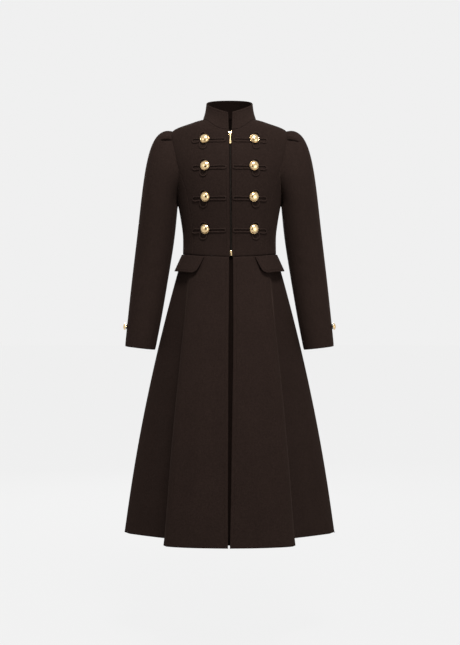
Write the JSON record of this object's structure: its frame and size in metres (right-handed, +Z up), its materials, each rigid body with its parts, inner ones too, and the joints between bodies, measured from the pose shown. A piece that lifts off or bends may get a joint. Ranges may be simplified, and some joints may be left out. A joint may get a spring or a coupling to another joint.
{
  "type": "military coat",
  "caption": "Fit-and-flare wool military coat, filled out as worn: stand collar, puff sleeves, braid frogs with dome buttons, front zip, waist flaps and a flared skirt.",
  "frame": {"origin": "middle of the neck opening at the height where the collar meets the shoulder seams, where the wearer's shoulders carry the coat", "axes": "+Z up along the wearer's spine, -Y the way the coat faces, +X the wearer's left"},
  "size_m": [0.5802, 0.424, 1.1993],
  "materials": {
    "wool": "felted dark brown melton wool, soft nap",
    "braid": "dark brown round braid cord",
    "zip_tape": "dark woven tape",
    "zip_chain": "dark metal teeth",
    "gold": "polished gold-tone metal"
  },
  "bodies": {
    "coat": {"collar": "wool", "bodice_back": "wool", "skirt_back": "wool", "skirt_underlap": "wool", "bodice_front_left": "wool", "bodice_side_front_left": "wool", "bodice_side_back_left": "wool", "sleeve_upper_left": "wool", "sleeve_under_left": "wool", "skirt_front_left": "wool", "pocket_flap_left": "wool", "bodice_front_right": "wool", "bodice_side_front_right": "wool", "bodice_side_back_right": "wool", "sleeve_upper_right": "wool", "sleeve_under_right": "wool", "skirt_front_right": "wool", "pocket_flap_right": "wool", "frog_left_1": "braid", "frog_left_2": "braid", "frog_left_3": "braid", "frog_left_4": "braid", "frog_right_1": "braid", "frog_right_2": "braid", "frog_right_3": "braid", "frog_right_4": "braid", "cuff_loop_left": "braid", "cuff_loop_right": "braid", "button_left_1": "gold", "button_left_2": "gold", "button_left_3": "gold", "button_left_4": "gold", "button_right_1": "gold", "button_right_2": "gold", "button_right_3": "gold", "button_right_4": "gold", "cuff_button_left": "gold", "cuff_button_right": "gold", "zip_slider": "gold", "zip_bottom_box": "gold", "zip_tape_left": "zip_tape", "zip_tape_right": "zip_tape", "zip_chain": "zip_chain"},
    "zip_pull": {"zip_pull_tab": "gold"}
  },
  "joints": [
    {"name": "zip_pull_hinge", "type": "hinge", "parent": "coat", "child": "zip_pull", "pos_m": [0.00201, -0.08572, -0.04768], "axis": [-1, 0, 0], "range_deg": [0, 150]}
  ]
}
